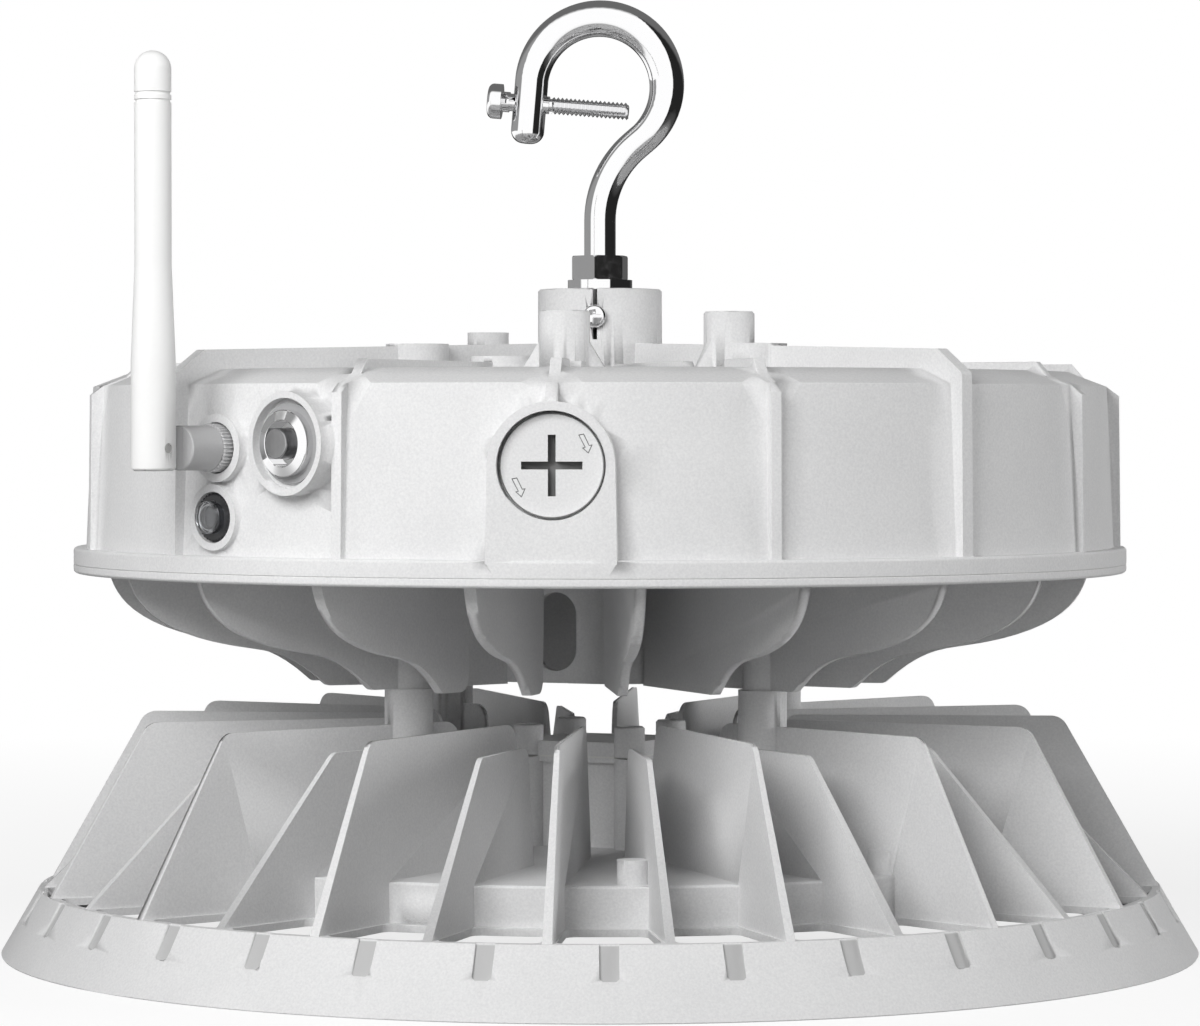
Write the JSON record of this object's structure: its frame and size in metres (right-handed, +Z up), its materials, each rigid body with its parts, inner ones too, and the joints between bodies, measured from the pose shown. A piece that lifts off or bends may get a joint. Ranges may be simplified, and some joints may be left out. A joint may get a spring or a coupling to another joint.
{
  "type": "high bay light",
  "caption": "Round suspended high bay light with a finned skirted heat sink, a driver housing above it, a rod hook, and a folding antenna and light sensor in the side.",
  "frame": {"origin": "centre of the skirt's lower rim", "axes": "+Z up, towards the hook; the front, with the round cap, faces -Y; the antenna is on the front's -X side"},
  "size_m": [0.3396, 0.3396, 0.2699],
  "materials": {
    "cast_light_grey": "fine-grained matt grey powder coat on cast aluminium",
    "chrome_steel": "bright chromed steel",
    "zinc_steel": "zinc-plated steel",
    "nut_metal": "dull nickel-plated brass",
    "washer_grey": "grey sealing washer",
    "plug_grey": "grey nylon",
    "whip_white": "white satin plastic",
    "swivel_grey": "grey plastic",
    "sensor_black": "black plastic",
    "sensor_clear": "clear plastic window",
    "seal_black": "black rubber",
    "seal_white": "white silicone",
    "lens_clear": "clear cover plate",
    "board_white": "white aluminium circuit board",
    "chip_yellow": "phosphor over the emitter",
    "driver_case": "driver case",
    "terminal_white": "terminal body",
    "board_green": "circuit board",
    "brass": "brass",
    "pad_grey": "thermal pad",
    "ring_metal": "retaining ring"
  },
  "bodies": {
    "light": {"hook": "chrome_steel", "hook_gate_screw": "chrome_steel", "hook_lock_nut": "chrome_steel", "hook_washer": "chrome_steel", "hub_lock_screw": "chrome_steel", "driver_housing": "cast_light_grey", "access_cap": "cast_light_grey", "access_cap_seal": "seal_black", "cable_gland": "chrome_steel", "gland_washer": "washer_grey", "gland_plug": "plug_grey", "antenna_connector": "nut_metal", "antenna_nut": "nut_metal", "light_sensor_body": "sensor_black", "light_sensor_nut": "sensor_black", "light_sensor_lens": "sensor_clear", "housing_gasket": "seal_black", "housing_base": "cast_light_grey", "housing_screws": "zinc_steel", "standoff_screws": "zinc_steel", "wire_grommet": "seal_black", "thermal_pad": "pad_grey", "led_driver": "driver_case", "terminal_block": "terminal_white", "control_board": "board_green", "board_standoffs": "brass", "board_screws": "zinc_steel", "heat_sink": "cast_light_grey", "box_gasket": "seal_white", "box_lid": "cast_light_grey", "box_screws": "zinc_steel", "led_board": "board_white", "led_chips": "chip_yellow", "lens_gasket": "seal_white", "lens_plate": "lens_clear", "lens_ring": "ring_metal", "lens_screws": "zinc_steel"},
    "antenna_elbow": {"antenna_swivel": "swivel_grey", "antenna_pin": "zinc_steel"},
    "antenna_whip_body": {"antenna_whip": "whip_white"}
  },
  "joints": [
    {"name": "antenna_turn", "type": "hinge", "parent": "light", "child": "antenna_elbow", "pos_m": [-0.10428, -0.1334, 0.1428], "axis": [-0.6018, -0.7986, 0], "range_deg": [-180, 180]},
    {"name": "antenna_fold", "type": "hinge", "parent": "antenna_elbow", "child": "antenna_whip_body", "pos_m": [-0.10428, -0.1334, 0.1428], "axis": [0.7986, -0.6018, 0], "range_deg": [0, 90]}
  ]
}
